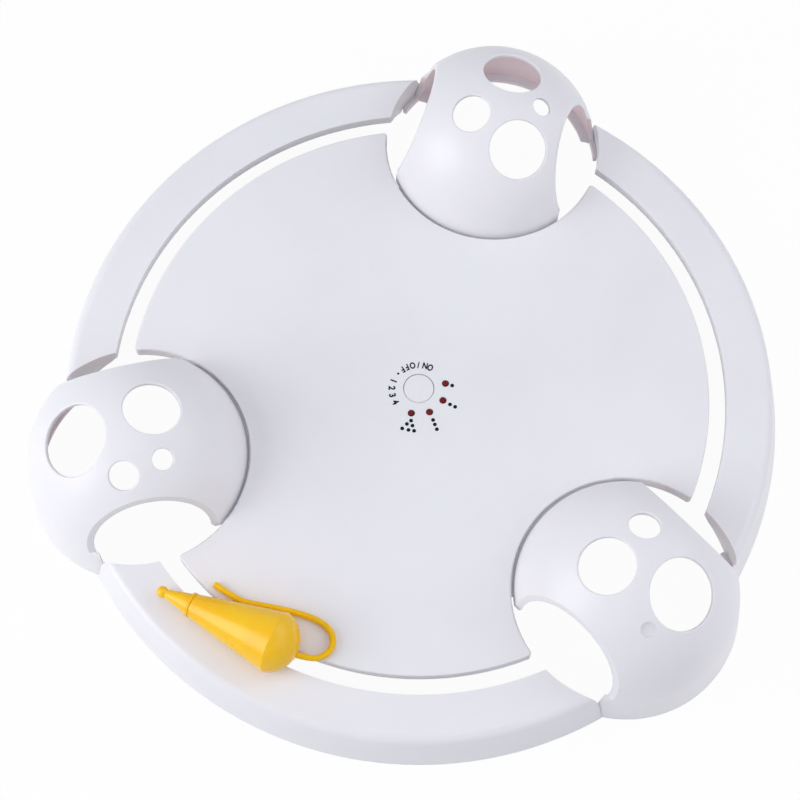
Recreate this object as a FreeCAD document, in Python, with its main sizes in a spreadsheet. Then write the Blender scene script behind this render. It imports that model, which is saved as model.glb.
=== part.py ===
import FreeCAD, Part
import math
import os
from types import SimpleNamespace

import Sketcher
from FreeCAD import Placement, Rotation, Vector

# Motorised cat toy: a toy mouse on a peg is carried round a circular slot, through three domes.
# Frame: origin on the floor at the axis of the deck, +Z up, +Y through the axis of dome 1.

doc = FreeCAD.newDocument("CatTurntable")
sheet = doc.addObject("Spreadsheet::Sheet", "Sizes")

# ---------------------------------------------------------------- driving dimensions, mm and degrees

SIZES = [
    # deck
    ("deck_top", 24.0, "height of the deck above the floor"),
    ("pocket_clear", 1.6, "carousel ring to the round pockets of the deck"),
    ("deck_wall", 2.2, "wall of the deck plate and of its lip"),
    ("deck_lip", 6.8, "depth of the lip round the deck"),
    ("deck_corner", 1.6, "round where the slot meets a pocket, in plan"),
    ("deck_edge", 0.8, "round along the top edge of the deck"),
    ("slot_width", 8.15, "gap between deck and rim"),
    ("rib_wall", 1.6, "stiffening ribs under deck and rim"),
    ("rib_depth", 4.6, "how far the ribs hang below the plate"),
    # rim
    ("rim_width", 26.85, "width of the rim on the floor"),
    ("rim_batter", 4.8, "how far its outer wall leans in at the shoulder"),
    ("rim_round", 4.5, "shoulder round"),
    ("rim_wall", 2.2, "wall of the rim"),
    ("rim_lip", 5.5, "depth of the rim's inner lip"),
    ("rim_setback", 15.4, "how far the end walls slope back at the floor"),
    # domes
    ("dome_set_in", 1.4, "edge of the deck to the axis of a dome"),
    ("dome_radius", 51.0, "sphere radius of a dome"),
    ("dome_centre", 15.2, "height of the sphere's centre"),
    ("dome_draft", 8.5, "draft of the skirt below the sphere"),
    ("dome_wall", 1.8, "wall of a dome"),
    ("pocket_ease", 1.0, "dome to the round pocket that takes it"),
    ("mouth_cut", 10.4, "how far the side mouths cut into the sphere at deck height"),
    ("mouth_lean", 15.7, "lean of the mouth planes towards the dome"),
    ("hole_edge", 0.7, "round along the edge of a cheese hole"),
    ("seam_gap", 0.4, "gap between a dome's skirt and the rim ends"),
    ("skirt_end", 25.5, "where the full skirt starts, outwards of the dome axis"),
    ("ledge_width", 9.5, "ledge of the deck that carries a dome"),
    ("ledge_wall", 2.2, "thickness of that ledge"),
    ("ledge_half", 48.0, "half angle of that ledge"),
    ("post_radius", 3.1, "screw posts inside the domes"),
    ("post_height", 5.0, "height of those posts"),
    ("post_spread", 30.0, "half angle between the two posts on the deck side"),
    ("post_inset", 0.7, "post to the wall of its dome"),
    ("flange_width", 4.4, "foot flange inside the outer half of a dome"),
    ("flange_wall", 1.6, "thickness of the foot flange"),
    ("mark_depth", 1.2, "depth of the moulding mark on dome 3"),
    ("sill_height", 4.0, "sill that carries a dome's lug across the rim's end"),
    ("sill_start", 57.0, "direction of the sill's outer end about the dome's axis"),
    ("sill_end", 71.5, "direction of the sill's inner end about the dome's axis"),
    ("lug_foot", 1.6, "underside of the lugs that reach under the rim"),
    ("lug_inset", 4.0, "foot of the rim to the outer edge of a lug"),
    ("lug_width", 6.3, "width of the lugs, along a radius"),
    ("lug_root", 14.0, "inner end of a lug, from its dome as seen from the deck's axis"),
    ("lug_turn", 20.9, "lug screw, from its dome as seen from the deck's axis"),
    ("lug_reach", 1.25, "lug beyond its screw, degrees about the deck's axis"),
    ("lug_gap", 0.3, "clearance round a lug in the rim's end wall"),
    # housing under the deck
    ("core_clear", 4.8, "pitch circle of the carousel's teeth to the housing wall"),
    ("core_wall", 2.2, "wall of the housing"),
    ("plate_overhang", 7.8, "base plate beyond the housing wall"),
    ("plate_base", 1.5, "floor to underside of the base plate"),
    ("plate_wall", 2.5, "thickness of the base plate"),
    ("boss_radius", 3.6, "screw bosses under the deck"),
    ("boss_side", 56.0, "screw bosses, left and right of the axis"),
    ("boss_front", 22.0, "screw bosses, in front and behind the axis"),
    ("tab_height", 2.5, "screw tabs at the foot of the housing"),
    ("foot_radius", 6.0, "rubber feet"),
    ("foot_inset", 9.0, "edge of the base plate to the middle of a foot"),
    ("foot_recess", 1.0, "how deep the feet sit in the base plate"),
    # batteries
    ("cell_radius", 7.1, "AA cell"),
    ("cell_length", 49.2, "AA cell without its nub"),
    ("cell_nub", 1.3, "length of the nub"),
    ("cell_pitch", 14.6, "spacing of the cells"),
    ("tray_inset", 5.5, "housing wall to the front of the battery tray"),
    ("tray_wall", 1.3, "walls of the battery tray"),
    ("tray_half", 27.3, "half length of the tray inside"),
    ("contact_wall", 0.5, "sheet of the contacts"),
    # gears
    ("module_fast", 0.6, "gear module, first stage"),
    ("module_mid", 0.8, "gear module, second stage"),
    ("module_slow", 1.5, "gear module, last stage"),
    ("teeth_motor", 10, "teeth of the motor pinion"),
    ("teeth_wheel_1", 50, "teeth of the large wheel of gear 1"),
    ("teeth_pinion_1", 10, "teeth of the small wheel of gear 1"),
    ("teeth_wheel_2", 34, "teeth of the large wheel of gear 2"),
    ("teeth_pinion_2", 12, "teeth of the small wheel of gear 2"),
    ("teeth_ring", 100, "internal teeth of the carousel"),
    ("backlash", 0.16, "play between gear teeth"),
    ("motor_turn", -22.0, "direction from gear 1 to the motor"),
    ("wheel_width", 2.5, "face width of the large wheels"),
    ("pin_radius", 1.0, "steel gear pins and motor shaft"),
    ("pin_boss", 1.9, "bosses under the deck for the gear pins"),
    ("hub_radius", 3.2, "hub between the wheels of gear 2"),
    ("run_fit", 0.05, "radial clearance of pins and shafts"),
    ("motor_radius", 12.2, "flat motor can"),
    ("motor_length", 12.3, "flat motor can"),
    # carousel and arm
    ("carousel_rim", 5.0, "pitch circle of the carousel's teeth to its outer edge"),
    ("carousel_teeth", 4.5, "height of the internal teeth"),
    ("carousel_flange", 1.2, "flange that runs round the housing"),
    ("glide_gap", 0.3, "clearance under and round the carousel"),
    ("arm_turn", -108.3, "direction of the arm at rest"),
    ("arm_root", 18.0, "width of the arm at its root"),
    ("arm_tip", 12.0, "width of the arm at its tip"),
    ("arm_depth", 6.5, "depth of the arm"),
    ("arm_wall", 2.0, "walls of the arm"),
    ("lug_length", 16.0, "lug of the ring that the arm is screwed to"),
    ("lug_wall", 2.5, "thickness of the lug"),
    ("peg_radius", 2.5, "peg that carries the mouse"),
    ("peg_rise", 14.0, "peg above the deck"),
    # mouse
    ("mouse_turn", 171.0, "direction of the nose at rest"),
    ("mouse_lift", 1.5, "deck to underside of the mouse"),
    ("mouse_axis", 8.9, "deck to axis of the body at the peg"),
    ("mouse_tilt", 4.7, "how far the axis dips to the nose"),
    ("mouse_rear", 14.0, "radius of the body at its rear crease"),
    ("mouse_crease", 17.0, "peg to rear crease"),
    ("mouse_cap", 10.5, "length of the rounded rear"),
    ("mouse_neck", 5.4, "radius of the body at the snout"),
    ("mouse_joint", 24.2, "peg to snout joint"),
    ("mouse_wall", 1.6, "wall of the mouse"),
    ("snout_length", 15.3, "snout joint to centre of the nose"),
    ("nose_radius", 2.7, "ball of the nose"),
    ("tube_wall", 1.7, "wall of the tube that turns on the peg"),
    ("stop_width", 1.4, "stop fin on the peg"),
    ("swivel_back", 23.5, "swivel of the mouse, nose inwards"),
    ("swivel_out", 4.0, "swivel of the mouse, nose outwards"),
    ("tail_radius", 1.4, "flexible tail"),
    ("tail_lift", 1.8, "deck to centre of the tail"),
    # button, lights and board
    ("button_radius", 7.0, "push button"),
    ("button_gap", 0.25, "gap round the button"),
    ("button_flange", 8.6, "flange under the deck that holds the button in"),
    ("button_travel", 0.8, "travel of the button"),
    ("light_radius", 1.5, "indicator light"),
    ("light_circle", 12.7, "radius on which the lights sit"),
    ("light_step", 39.0, "angle between the lights"),
    ("light_first", -90.0, "direction of the first light"),
    ("light_rise", 0.6, "light above the deck"),
    ("board_top", 16.1, "top face of the circuit board"),
    ("board_wall", 1.6, "thickness of the circuit board"),
    ("board_half", 22.0, "half length of the circuit board"),
    ("board_front", 15.4, "front edge of the circuit board"),
    ("board_back", 20.0, "back edge of the circuit board"),
    ("screw_radius", 1.45, "screw shank"),
    ("screw_head", 2.6, "screw head"),
    ("screw_cap", 1.3, "height of a screw head"),
]


class Size:
    """A number together with the spreadsheet expression that gives it."""

    def __init__(self, value, text):
        self.value = value
        self.text = text

    def joined(self, other, sign, value):
        return Size(value, f"({self.text} {sign} {other.text})")

    def __add__(self, other):
        other = sized(other)
        return self.joined(other, "+", self.value + other.value)

    def __sub__(self, other):
        other = sized(other)
        return self.joined(other, "-", self.value - other.value)

    def __mul__(self, other):
        other = sized(other)
        return self.joined(other, "*", self.value * other.value)

    def __truediv__(self, other):
        other = sized(other)
        return self.joined(other, "/", self.value / other.value)

    def __radd__(self, other):
        return sized(other) + self

    def __rsub__(self, other):
        return sized(other) - self

    def __rmul__(self, other):
        return sized(other) * self

    def __neg__(self):
        return Size(-self.value, f"(0 - {self.text})")


def sized(number):
    return number if isinstance(number, Size) else Size(float(number), f"({float(number)!r})")


def sine(angle):
    angle = sized(angle)
    return Size(math.sin(math.radians(angle.value)), f"sin({angle.text})")


def cosine(angle):
    angle = sized(angle)
    return Size(math.cos(math.radians(angle.value)), f"cos({angle.text})")


def tangent(angle):
    return sine(angle) / cosine(angle)


def root(number):
    return Size(math.sqrt(number.value), f"sqrt({number.text})")


for row, (alias, value, note) in enumerate(SIZES, 1):
    sheet.set(f"A{row}", alias)
    sheet.set(f"B{row}", str(value))
    sheet.set(f"C{row}", note)
    sheet.setAlias(f"B{row}", alias)
doc.recompute()
S = SimpleNamespace(**{alias: Size(float(sheet.get(alias)), f"Sizes.{alias}") for alias, _, _ in SIZES})

DOME_TURNS = (90.0, 210.0, 330.0)
RIM_TURNS = (150.0, 270.0, 30.0)

# Round holes of each dome: direction from outwards, tilt from straight up, radius, degrees and mm.
CHEESE = (
    ((-8.8, 23.4, 13.9), (131.5, 15.4, 9.0), (-77.0, 25.1, 4.5), (-139.7, 29.5, 13.7)),
    ((-3.0, 28.2, 16.3), (-156.2, 17.3, 12.8), (77.3, 25.6, 6.5), (126.7, 26.3, 4.8)),
    ((-137.9, 15.6, 12.7), (124.3, 22.7, 7.0), (16.3, 26.6, 15.7)),
)
GATE_MARK = (-36.1, 31.3, 3.6)

# Radii and places that follow from the driving sizes.
RING_PITCH = S.module_slow * S.teeth_ring / 2
CORE_RADIUS = RING_PITCH - S.core_clear
CORE_INNER = CORE_RADIUS - S.core_wall
PLATE_RADIUS = CORE_RADIUS + S.plate_overhang
FOOT_CIRCLE = PLATE_RADIUS - S.foot_inset
CAROUSEL_RADIUS = RING_PITCH + S.carousel_rim
POCKET = S.dome_radius + S.pocket_ease
DOME_OFFSET = CAROUSEL_RADIUS + S.pocket_clear + POCKET
DECK_RADIUS = DOME_OFFSET + S.dome_set_in
MOUTH_HALF = S.dome_radius - S.mouth_cut
RIM_INNER = DECK_RADIUS + S.slot_width
SLOT_MIDDLE = DECK_RADIUS + S.slot_width / 2
RIM_FOOT = RIM_INNER + S.rim_width
RIM_SHOULDER = RIM_FOOT - S.rim_batter

# Heights that several pieces share.
UNDERSIDE = S.deck_top - S.deck_wall
LIP_FOOT = S.deck_top - S.deck_lip
SEAT = LIP_FOOT + S.ledge_wall
POST_REACH = POCKET - S.dome_wall - S.post_radius - S.post_inset
LUG_OUTER = RIM_FOOT - S.lug_inset
LUG_INNER = LUG_OUTER - S.lug_width
LUG_MIDDLE = (LUG_INNER + LUG_OUTER) / 2
PLATE_TOP = S.plate_base + S.plate_wall
TAB_TOP = PLATE_TOP + S.tab_height
RING_FOOT = PLATE_TOP + S.glide_gap
FLANGE_FOOT = RING_FOOT + S.carousel_teeth
FLANGE_TOP = FLANGE_FOOT + S.carousel_flange
SCREW_HOLE = S.screw_radius + S.run_fit
PIN_BORE = S.pin_radius + S.run_fit

# Gear centres: gear 2 meshes with the ring, gear 1 with gear 2, the motor pinion with gear 1.
GEAR_2_Y = RING_PITCH - S.module_slow * S.teeth_pinion_2 / 2
GEAR_1_Y = GEAR_2_Y - S.module_mid * (S.teeth_pinion_1 + S.teeth_wheel_2) / 2
MOTOR_REACH = S.module_fast * (S.teeth_motor + S.teeth_wheel_1) / 2
MOTOR_X = MOTOR_REACH * cosine(S.motor_turn)
MOTOR_Y = GEAR_1_Y + MOTOR_REACH * sine(S.motor_turn)

# Gear levels from the base plate up.
BOSS_LOW = PLATE_TOP + 0.5
PINION_2_FOOT = BOSS_LOW + S.glide_gap
PINION_2_TOP = FLANGE_FOOT - 0.2
WHEEL_2_FOOT = FLANGE_TOP + 0.5
WHEEL_2_TOP = WHEEL_2_FOOT + S.wheel_width
MOTOR_FOOT = PLATE_TOP + S.glide_gap
MOTOR_TOP = MOTOR_FOOT + S.motor_length
WHEEL_1_FOOT = MOTOR_TOP + 0.6
WHEEL_1_TOP = WHEEL_1_FOOT + S.wheel_width
PIN_TOP = UNDERSIDE - 0.6
PIN_FOOT = PLATE_TOP - 1.6
CELL_AXIS = PLATE_TOP + S.glide_gap + S.cell_radius
TRAY_FRONT = CORE_INNER - S.tray_inset - S.tray_wall
CELL_LAST = TRAY_FRONT - 0.6 - S.cell_radius
CELL_FIRST = CELL_LAST - 2 * S.cell_pitch
TRAY_TOP = CELL_AXIS + S.cell_radius + S.glide_gap
TRAY_BACK = CELL_FIRST - S.cell_radius - 0.3

# ---------------------------------------------------------------- helpers

NODES = []


def bind(obj, **sizes):
    """Set properties from sizes, through the spreadsheet where they depend on it."""
    for name, size in sizes.items():
        obj.setExpression(name.replace("_at_", "."), sized(size).text)


def place(obj, x=0, y=0, z=0, turn=0):
    """Move an object to x, y, z and turn it about its vertical axis."""
    obj.Placement = Placement(Vector(), Rotation(Vector(0, 0, 1), 0))
    for axis, size in (("x", x), ("y", y), ("z", z)):
        obj.setExpression(f"Placement.Base.{axis}", sized(size).text)
    if isinstance(turn, Size) or turn:
        obj.setExpression("Placement.Rotation.Angle", sized(turn).text)
    return obj


def cylinder(radius, height, x=0, y=0, z=0, angle=360, turn=0):
    obj = doc.addObject("Part::Cylinder", "Cylinder")
    bind(obj, Radius=radius, Height=height, Angle=angle)
    return place(obj, x, y, z, turn)


def cone(low, high, height, x=0, y=0, z=0):
    obj = doc.addObject("Part::Cone", "Cone")
    bind(obj, Radius1=low, Radius2=high, Height=height)
    return place(obj, x, y, z)


def box(length, width, height, x=0, y=0, z=0, turn=0):
    obj = doc.addObject("Part::Box", "Box")
    bind(obj, Length=length, Width=width, Height=height)
    return place(obj, x, y, z, turn)


def span(x0, x1, y0, y1, z0, z1):
    """A box between two values on each axis."""
    return box(x1 - x0, y1 - y0, z1 - z0, x0, y0, z0)


def fuse(*shapes):
    if len(shapes) == 1:
        return shapes[0]
    obj = doc.addObject("Part::MultiFuse", "Fuse")
    obj.Shapes = list(shapes)
    return obj


def cut(base, *tools):
    obj = doc.addObject("Part::Cut", "Cut")
    obj.Base = base
    obj.Tool = fuse(*tools)
    return obj


def common(base, tool):
    obj = doc.addObject("Part::Common", "Common")
    obj.Base = base
    obj.Tool = tool
    return obj


def group(*shapes):
    obj = doc.addObject("Part::Compound", "Group")
    obj.Links = list(shapes)
    return obj


def node(label, obj):
    """Name a finished piece; its label names its file."""
    obj.Label = label
    NODES.append(obj)
    return obj


def turned(radius, turn):
    """X and Y at a radius and direction."""
    return radius * cosine(turn), radius * sine(turn)


def body(name):
    return doc.addObject("PartDesign::Body", name)


def sketch_on(piece, role):
    sketch = piece.newObject("Sketcher::SketchObject", "Outline")
    plane = [f for f in piece.Origin.OriginFeatures if f.Role == role][0]
    sketch.AttachmentSupport = [(plane, "")]
    sketch.MapMode = "FlatFace"
    return sketch


def constrain(sketch, kind, *where, size):
    index = sketch.addConstraint(Sketcher.Constraint(kind, *where, size.value))
    sketch.setExpression(f"Constraints[{index}]", size.text)


def arc_between(start, end, radius, left):
    """An arc from start to end with its centre on the left or right of the chord."""
    middle = (start + end) * 0.5
    half = (end - start) * 0.5
    side = Vector(-half.y, half.x, 0) * (1 if left else -1)
    rise = math.sqrt(max(radius * radius - half.Length ** 2, 0.0))
    centre = middle + side.normalize() * rise
    first, last = (start, end) if left else (end, start)
    angles = [math.atan2(p.y - centre.y, p.x - centre.x) for p in (first, last)]
    if angles[1] < angles[0]:
        angles[1] += 2 * math.pi
    return Part.ArcOfCircle(Part.Circle(centre, Vector(0, 0, 1), radius), *angles)


def outline(piece, role, points, arcs=()):
    """A closed sketch through points; arcs maps a point's index to the arc that starts there,
    as (radius, centre is on the left)."""
    sketch = sketch_on(piece, role)
    arcs = dict(arcs)
    points = [(sized(x), sized(y)) for x, y in points]
    spots = [Vector(x.value, y.value, 0) for x, y in points]
    ends = []
    for i, start in enumerate(spots):
        end = spots[(i + 1) % len(spots)]
        if i in arcs:
            radius, left = sized(arcs[i][0]), arcs[i][1]
            line = sketch.addGeometry(arc_between(start, end, radius.value, left), False)
            constrain(sketch, "Radius", line, size=radius)
            ends.append((line, 1, 2) if left else (line, 2, 1))
        else:
            line = sketch.addGeometry(Part.LineSegment(start, end), False)
            ends.append((line, 1, 2))
    for i, (line, first, _) in enumerate(ends):
        before = ends[i - 1]
        sketch.addConstraint(Sketcher.Constraint("Coincident", before[0], before[2], line, first))
        constrain(sketch, "DistanceX", -1, 1, line, first, size=points[i][0])
        constrain(sketch, "DistanceY", -1, 1, line, first, size=points[i][1])
    return sketch


def revolve(piece, sketch, axis="V_Axis"):
    feature = piece.newObject("PartDesign::Revolution", "Turned")
    feature.Profile = sketch
    feature.ReferenceAxis = (sketch, [axis])
    feature.Angle = 360
    piece.Tip = feature
    return feature


def pad(piece, sketch, length, down=False):
    feature = piece.newObject("PartDesign::Pad", "Pad")
    feature.Profile = sketch
    feature.Reversed = down
    bind(feature, Length=length)
    piece.Tip = feature
    return feature


def pocket(piece, sketch, depth, through_both=False, up=False):
    feature = piece.newObject("PartDesign::Pocket", "Pocket")
    feature.Profile = sketch
    feature.Midplane = through_both
    feature.Reversed = up
    bind(feature, Length=depth)
    piece.Tip = feature
    return feature


def edges_where(feature, wanted):
    doc.recompute()
    return [f"Edge{i}" for i, edge in enumerate(feature.Shape.Edges, 1) if wanted(edge)]


def round_edges(piece, feature, names, radius):
    rounded = piece.newObject("PartDesign::Fillet", "Round")
    rounded.Base = (feature, names)
    bind(rounded, Radius=radius)
    piece.Tip = rounded
    return rounded


def screw(length, x, y, z, up=True, head=S.screw_head):
    """A screw whose head's seat is at z; its shank points up or down."""
    if up:
        return fuse(cylinder(head, S.screw_cap, x, y, z - S.screw_cap),
                    cylinder(S.screw_radius, length, x, y, z))
    return fuse(cylinder(head, S.screw_cap, x, y, z),
                cylinder(S.screw_radius, length, x, y, z - length))


# ---------------------------------------------------------------- deck


def scalloped_plate(inset, name):
    """Round plate with three round pockets in its edge; inset shrinks it all round."""
    piece = body(name)
    outer, scallop = DECK_RADIUS - inset, POCKET + inset
    # Half angle under which a pocket opens in the edge, seen from the deck's axis.
    opening = (outer * outer + DOME_OFFSET * DOME_OFFSET
               - scallop * scallop) / (2 * outer * DOME_OFFSET)
    sideways = root(1 - opening * opening)
    points = []
    arcs = {}
    for i, turn in enumerate(DOME_TURNS):
        for side in (-1, 1):
            # cosine and sine of turn plus or minus the half angle
            points.append((outer * (cosine(turn) * opening - side * sine(turn) * sideways),
                           outer * (sine(turn) * opening + side * cosine(turn) * sideways)))
        arcs[2 * i] = (scallop, False)
        arcs[2 * i + 1] = (outer, True)
    return piece, pad(piece, outline(piece, "XY_Plane", points, arcs), S.deck_lip, down=True)


def deck_shell():
    """The plate with its rounded corners and top edge, and the lip that hangs round it."""
    outer, plate = scalloped_plate(sized(0), "DeckPlate")
    upright = edges_where(plate, lambda e: abs(e.tangentAt(e.FirstParameter).z) > 0.99)
    plate = round_edges(outer, plate, upright, S.deck_corner)
    rim = edges_where(plate, lambda e: e.BoundBox.ZMin > -1e-6 and e.BoundBox.ZLength < 1e-6)
    round_edges(outer, plate, rim, S.deck_edge)
    hollow, _ = scalloped_plate(S.deck_wall, "DeckHollow")
    return cut(place(outer, z=S.deck_top), place(hollow, z=UNDERSIDE))


def deck():
    additions = []
    holes = [cylinder(S.button_radius + S.button_gap, 3 * S.deck_wall, z=UNDERSIDE - S.deck_wall)]
    for i in range(4):
        x, y = turned(S.light_circle, S.light_first + i * S.light_step)
        holes.append(cylinder(S.light_radius + 0.2, 3 * S.deck_wall, x, y, UNDERSIDE - S.deck_wall))
    for turn in DOME_TURNS:
        x, y = turned(DOME_OFFSET, turn)
        sector = cylinder(POCKET + S.deck_wall / 2, S.ledge_wall, x, y, LIP_FOOT,
                          2 * S.ledge_half, turn + 180 - S.ledge_half)
        bore = cylinder(POCKET - S.ledge_width, 3 * S.ledge_wall, x, y,
                        LIP_FOOT - S.ledge_wall)
        additions.append(cut(sector, bore))
        for px, py in post_places(turn):
            holes.append(cylinder(SCREW_HOLE, 3 * S.ledge_wall, px, py, LIP_FOOT - S.ledge_wall))
    for turn in RIM_TURNS:
        for swing in (-22, 0, 22):
            x, y = turned(CORE_RADIUS + 4, turn + swing)
            length = DECK_RADIUS - S.deck_wall / 2 - CORE_RADIUS - 4
            rib = box(length, S.rib_wall, S.rib_depth, x, y, UNDERSIDE - S.rib_depth, turn + swing)
            additions.append(rib)
    locating = cut(cylinder(CORE_RADIUS + 0.3 + S.rib_wall, S.rib_depth, z=UNDERSIDE - S.rib_depth),
                   cylinder(CORE_RADIUS + 0.3, 3 * S.rib_depth, z=UNDERSIDE - 2 * S.rib_depth))
    additions.append(locating)
    for x, y in boss_places():
        additions.append(cylinder(S.boss_radius, UNDERSIDE - TAB_TOP, x, y, TAB_TOP))
        holes.append(cylinder(SCREW_HOLE, 9, x, y, TAB_TOP - 1))
    for x, y in board_places():
        additions.append(cylinder(2.6, UNDERSIDE - S.board_top, x, y, S.board_top))
        holes.append(cylinder(SCREW_HOLE, 5, x, y, S.board_top - 1))
    for y in (GEAR_1_Y, GEAR_2_Y):
        additions.append(cylinder(S.pin_boss, UNDERSIDE - PIN_TOP + 1.0, 0, y, PIN_TOP - 1.0))
        holes.append(cylinder(PIN_BORE, 1.0 + S.run_fit, 0, y, PIN_TOP - 1.0))
    return cut(fuse(deck_shell(), *additions), *holes)


def post_places(turn):
    """Centres of the two screw posts of the dome in this direction."""
    x, y = turned(DOME_OFFSET, turn)
    steps = [turned(POST_REACH, turn + 180 + side * S.post_spread) for side in (-1, 1)]
    return [(x + dx, y + dy) for dx, dy in steps]


def boss_places():
    return [(sx * S.boss_side, sy * S.boss_front) for sx in (-1, 1) for sy in (-1, 1)]


def board_places():
    return [(sx * (S.board_half - 3), y)
            for sx in (-1, 1) for y in (-(S.board_front - 3), S.board_back - 3)]


# ---------------------------------------------------------------- rim


def rim_ring(inset, name):
    """Revolved rim section; inset shrinks it by a wall for the hollow inside."""
    foot = RIM_FOOT - inset
    shoulder = RIM_SHOULDER - inset
    inner = RIM_INNER + inset
    top = S.deck_top - inset
    hanging = S.deck_top - S.rim_lip
    below = -inset
    outer_round = S.rim_round - inset
    points = [(inner + S.rim_setback, below), (foot, below), (shoulder, top - outer_round),
              (shoulder - outer_round, top), (inner, top), (inner, hanging)]
    piece = body(name)
    revolve(piece, outline(piece, "XZ_Plane", points, {2: (outer_round, True)}))
    return piece


def dome_plug(inset):
    """The space a dome takes from the rim: its pocket above, its flared skirt below."""
    gap = S.seam_gap + inset
    flare = S.deck_top * tangent(S.dome_draft)
    skirt = skirt_radius(0) + gap
    return fuse(cylinder(POCKET + inset, 3 * S.deck_top, z=-S.deck_top),
                cone(skirt + flare, skirt - 2 * flare, 3 * S.deck_top, z=-S.deck_top))


def skirt_radius(height):
    """Outer radius of a dome's skirt at a height."""
    tangent_height = S.dome_centre + S.dome_radius * sine(S.dome_draft)
    return (S.dome_radius * cosine(S.dome_draft)
            + (tangent_height - height) * tangent(S.dome_draft))


def sector(turn, half, radius):
    return cylinder(radius, 4 * S.deck_top, 0, 0, -S.deck_top, 2 * half, turn - half)


def rim_segment(turn):
    """One third of the rim, cut round by the domes at both ends and hollow from below."""
    outer = common(rim_ring(sized(0), "RimOuter"), sector(turn, sized(60), RIM_FOOT + 20))
    hollow = rim_ring(S.rim_wall, "RimHollow")
    plugs, walls = [], []
    for side in (-60, 60):
        for inset, tools in ((sized(0), plugs), (S.rim_wall, walls)):
            plug = dome_plug(inset)
            x, y = turned(DOME_OFFSET, turn + side)
            tools.append(place(plug, x, y))
    pillars = []
    for swing in (-18, 0, 18):
        pillars.append(box(RIM_FOOT, S.rib_wall, S.deck_top, 0, 0, S.deck_top / 3, turn + swing))
    bores = []
    for side in (-1, 1):
        x, y = turned(LUG_MIDDLE, turn - side * (60 - S.lug_turn))
        pillars.append(cylinder(S.post_radius, S.deck_top, x, y, S.sill_height))
        bores.append(cylinder(SCREW_HOLE, S.deck_top / 2, x, y, 0))
        bores.append(lug(turn - side * 60, side, sized(-1), S.lug_gap))
    return cut(outer, *plugs, cut(hollow, *walls, *pillars), *bores)


def lug(turn, side, foot, gap=0):
    """Plate that a dome sends under the end of the rim; with a gap it is the notch for it."""
    low = S.lug_root
    high = S.lug_turn + S.lug_reach + gap / 2
    start = turn + low if side > 0 else turn - high
    plate = cylinder(LUG_OUTER + gap, S.sill_height + gap - foot, 0, 0, foot, high - low, start)
    return cut(plate, cylinder(LUG_INNER - gap, S.deck_top, z=foot - 1))


# ---------------------------------------------------------------- domes


def dome_shell():
    """Spherical cap on a drafted skirt, one wall thick, about the dome's own axis."""
    piece = body("DomeShell")
    draft = S.dome_draft
    inner = S.dome_radius - S.dome_wall
    tangent_out = (S.dome_radius * cosine(draft), S.dome_centre + S.dome_radius * sine(draft))
    tangent_in = (inner * cosine(draft), S.dome_centre + inner * sine(draft))
    flange = skirt_radius(0) - S.dome_wall - S.flange_width
    points = [(skirt_radius(0), 0), tangent_out, (0, S.dome_centre + S.dome_radius),
              (0, S.dome_centre + inner), tangent_in, (skirt_inside(S.flange_wall), S.flange_wall),
              (flange, S.flange_wall), (flange, 0)]
    arcs = {1: (S.dome_radius, True), 3: (inner, False)}
    revolve(piece, outline(piece, "XZ_Plane", points, arcs))
    high = 3 * S.dome_radius
    lean = tangent(S.mouth_lean) * high
    for side in (-1, 1):
        # Mouth above the deck: everything beyond a leaning plane.
        corner = [(side * MOUTH_HALF, S.deck_top), (side * S.dome_radius * 2, S.deck_top),
                  (side * S.dome_radius * 2, S.deck_top + high),
                  (side * (MOUTH_HALF - lean), S.deck_top + high)]
        pocket(piece, outline(piece, "YZ_Plane", corner), 4 * S.dome_radius, through_both=True)
        # Below the deck the mouth is as wide as the ends of the rim leave it.
        gate = [(-2 * S.dome_radius, side * MOUTH_HALF), (S.skirt_end, side * MOUTH_HALF),
                (S.skirt_end, side * 2 * S.dome_radius),
                (-2 * S.dome_radius, side * 2 * S.dome_radius)]
        pocket(piece, outline(piece, "XY_Plane", gate), S.deck_top, up=True)
    # The deck side ends on the deck's ledge.
    under = [(-2 * S.dome_radius, -MOUTH_HALF - 1), (0, -MOUTH_HALF - 1),
             (0, MOUTH_HALF + 1), (-2 * S.dome_radius, MOUTH_HALF + 1)]
    pocket(piece, outline(piece, "XY_Plane", under), SEAT, up=True)
    return piece


def skirt_inside(height):
    """Inner radius of a dome's skirt at a height."""
    return skirt_radius(height) - S.dome_wall / cosine(S.dome_draft)


def aimed(obj, direction, tilt):
    """Turn a piece made about the Z axis to a ray from the sphere's centre."""
    obj.Placement = Placement(Vector(), Rotation(Vector(0, 0, 1), direction)
                              * Rotation(Vector(0, 1, 0), tilt))
    bind(obj, Placement_at_Base_at_z=S.dome_centre)
    return obj


def hole_cutter(radius):
    """Cutter for a round hole through the sphere, with the round of its outer edge."""
    piece = body("HoleCutter")
    # The round's centre sits a little far out, so that it crosses the sphere instead of touching it.
    reach = S.dome_radius - S.hole_edge + 0.05
    across = radius + S.hole_edge
    along = root(reach * reach - across * across)
    scale = (reach + S.hole_edge) / reach
    points = [(0, S.dome_radius / 2), (radius, S.dome_radius / 2), (radius, along),
              (across * scale, along * scale), (across * scale * 1.3, along * scale * 1.3),
              (0, along * scale * 1.3)]
    revolve(piece, outline(piece, "XZ_Plane", points, {2: (S.hole_edge, False)}))
    return piece


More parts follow.
